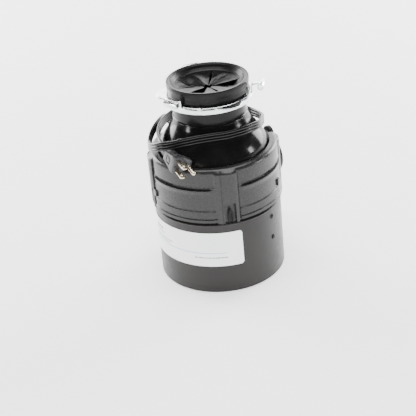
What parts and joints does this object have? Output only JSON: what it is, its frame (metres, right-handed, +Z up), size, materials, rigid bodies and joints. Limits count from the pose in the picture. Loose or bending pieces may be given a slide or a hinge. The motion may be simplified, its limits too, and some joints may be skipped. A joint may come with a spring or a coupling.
{
  "type": "kitchen garbage disposal",
  "caption": "Under-sink food waste disposer: painted motor can, moulded trim shell, bell-shaped grind chamber, rubber collar, plated mounting ring and a flat mains cord with plug.",
  "frame": {"origin": "centre of the base: the middle of the bounding box without the free cord, on the plane of the bottom rim that the unit stands on", "axes": "+Z up along the vertical motor axis towards the sink, -Y the front face, which the label wraps round from the left, +X to the right; the discharge flange faces the back right"},
  "size_m": [0.1717, 0.2459, 0.258],
  "materials": {
    "rubber": "satin black moulded rubber",
    "zinc": "bright zinc-plated pressed steel",
    "gloss_black": "gloss black moulding",
    "satin_black": "satin dark moulding with a fine texture",
    "paint": "satin dark grey paint on steel",
    "label": "white printed film",
    "steel": "turned and stamped stainless steel",
    "cast": "electrical steel and cast metal",
    "alloy": "die-cast aluminium",
    "copper": "enamelled copper windings",
    "brass": "sintered bronze",
    "red": "red moulding",
    "foam": "closed-cell foam",
    "cord": "glossy black flexible sheath",
    "nickel": "plated brass"
  },
  "bodies": {
    "root": {"mounting_gasket": "rubber", "container_body": "gloss_black", "inlet_knockout_plug": "satin_black", "container_gasket": "rubber", "insulation_jacket": "foam", "trim_shell": "satin_black", "boss_clip_1": "satin_black", "boss_clip_2": "satin_black", "boss_clip_3": "satin_black", "boss_clip_4": "satin_black", "clamp_bolt_1": "zinc", "clamp_bolt_2": "zinc", "clamp_bolt_3": "zinc", "clamp_bolt_4": "zinc", "stationary_shredder": "steel", "upper_end_bell": "alloy", "shaft_seal": "rubber", "upper_bearing_bush": "brass", "lower_bearing_bush": "brass", "thrust_washer": "steel", "stator_core": "cast", "upper_winding": "copper", "lower_winding": "copper", "lower_shell": "paint", "shell_screw_1": "paint", "shell_screw_2": "paint", "rating_label": "label", "lower_end_frame": "alloy", "terminal_cover_plate": "zinc", "cover_screw_1": "zinc", "cover_screw_2": "zinc", "overload_protector": "satin_black", "start_relay": "satin_black", "strain_relief": "cord", "power_cord": "cord", "plug_body": "cord", "plug_blade_hot": "nickel", "plug_blade_neutral": "nickel", "plug_ground_pin": "nickel"},
    "rotor": {"motor_shaft": "steel", "turntable": "steel", "turntable_nut": "steel", "lug_rivet_a": "steel", "lug_rivet_b": "steel", "water_slinger": "rubber", "rotor_core": "cast", "rotor_end_ring_upper": "alloy", "rotor_end_ring_lower": "alloy"},
    "lug_a": {"impeller_lug_a": "steel"},
    "lug_b": {"impeller_lug_b": "steel"},
    "mounting_ring": {"lower_mounting_ring": "zinc"},
    "reset": {"reset_button": "red"}
  },
  "joints": [
    {"name": "rotor_spin", "type": "hinge", "parent": "root", "child": "rotor", "pos_m": [-0.0015, 0, 0.1], "axis": [0, 0, 1], "continuous": true},
    {"name": "lug_a_swing", "type": "hinge", "parent": "rotor", "child": "lug_a", "pos_m": [-0.0015, -0.042, 0.158], "axis": [0, 0, 1], "continuous": true},
    {"name": "lug_b_swing", "type": "hinge", "parent": "rotor", "child": "lug_b", "pos_m": [-0.0015, 0.042, 0.158], "axis": [0, 0, 1], "continuous": true},
    {"name": "mounting_ring_turn", "type": "hinge", "parent": "root", "child": "mounting_ring", "pos_m": [-0.0015, 0, 0.235], "axis": [0, 0, 1], "continuous": true},
    {"name": "reset_button_travel", "type": "slide", "parent": "root", "child": "reset", "axis": [0, 0, -1], "range_m": [0, 0.003]}
  ]
}
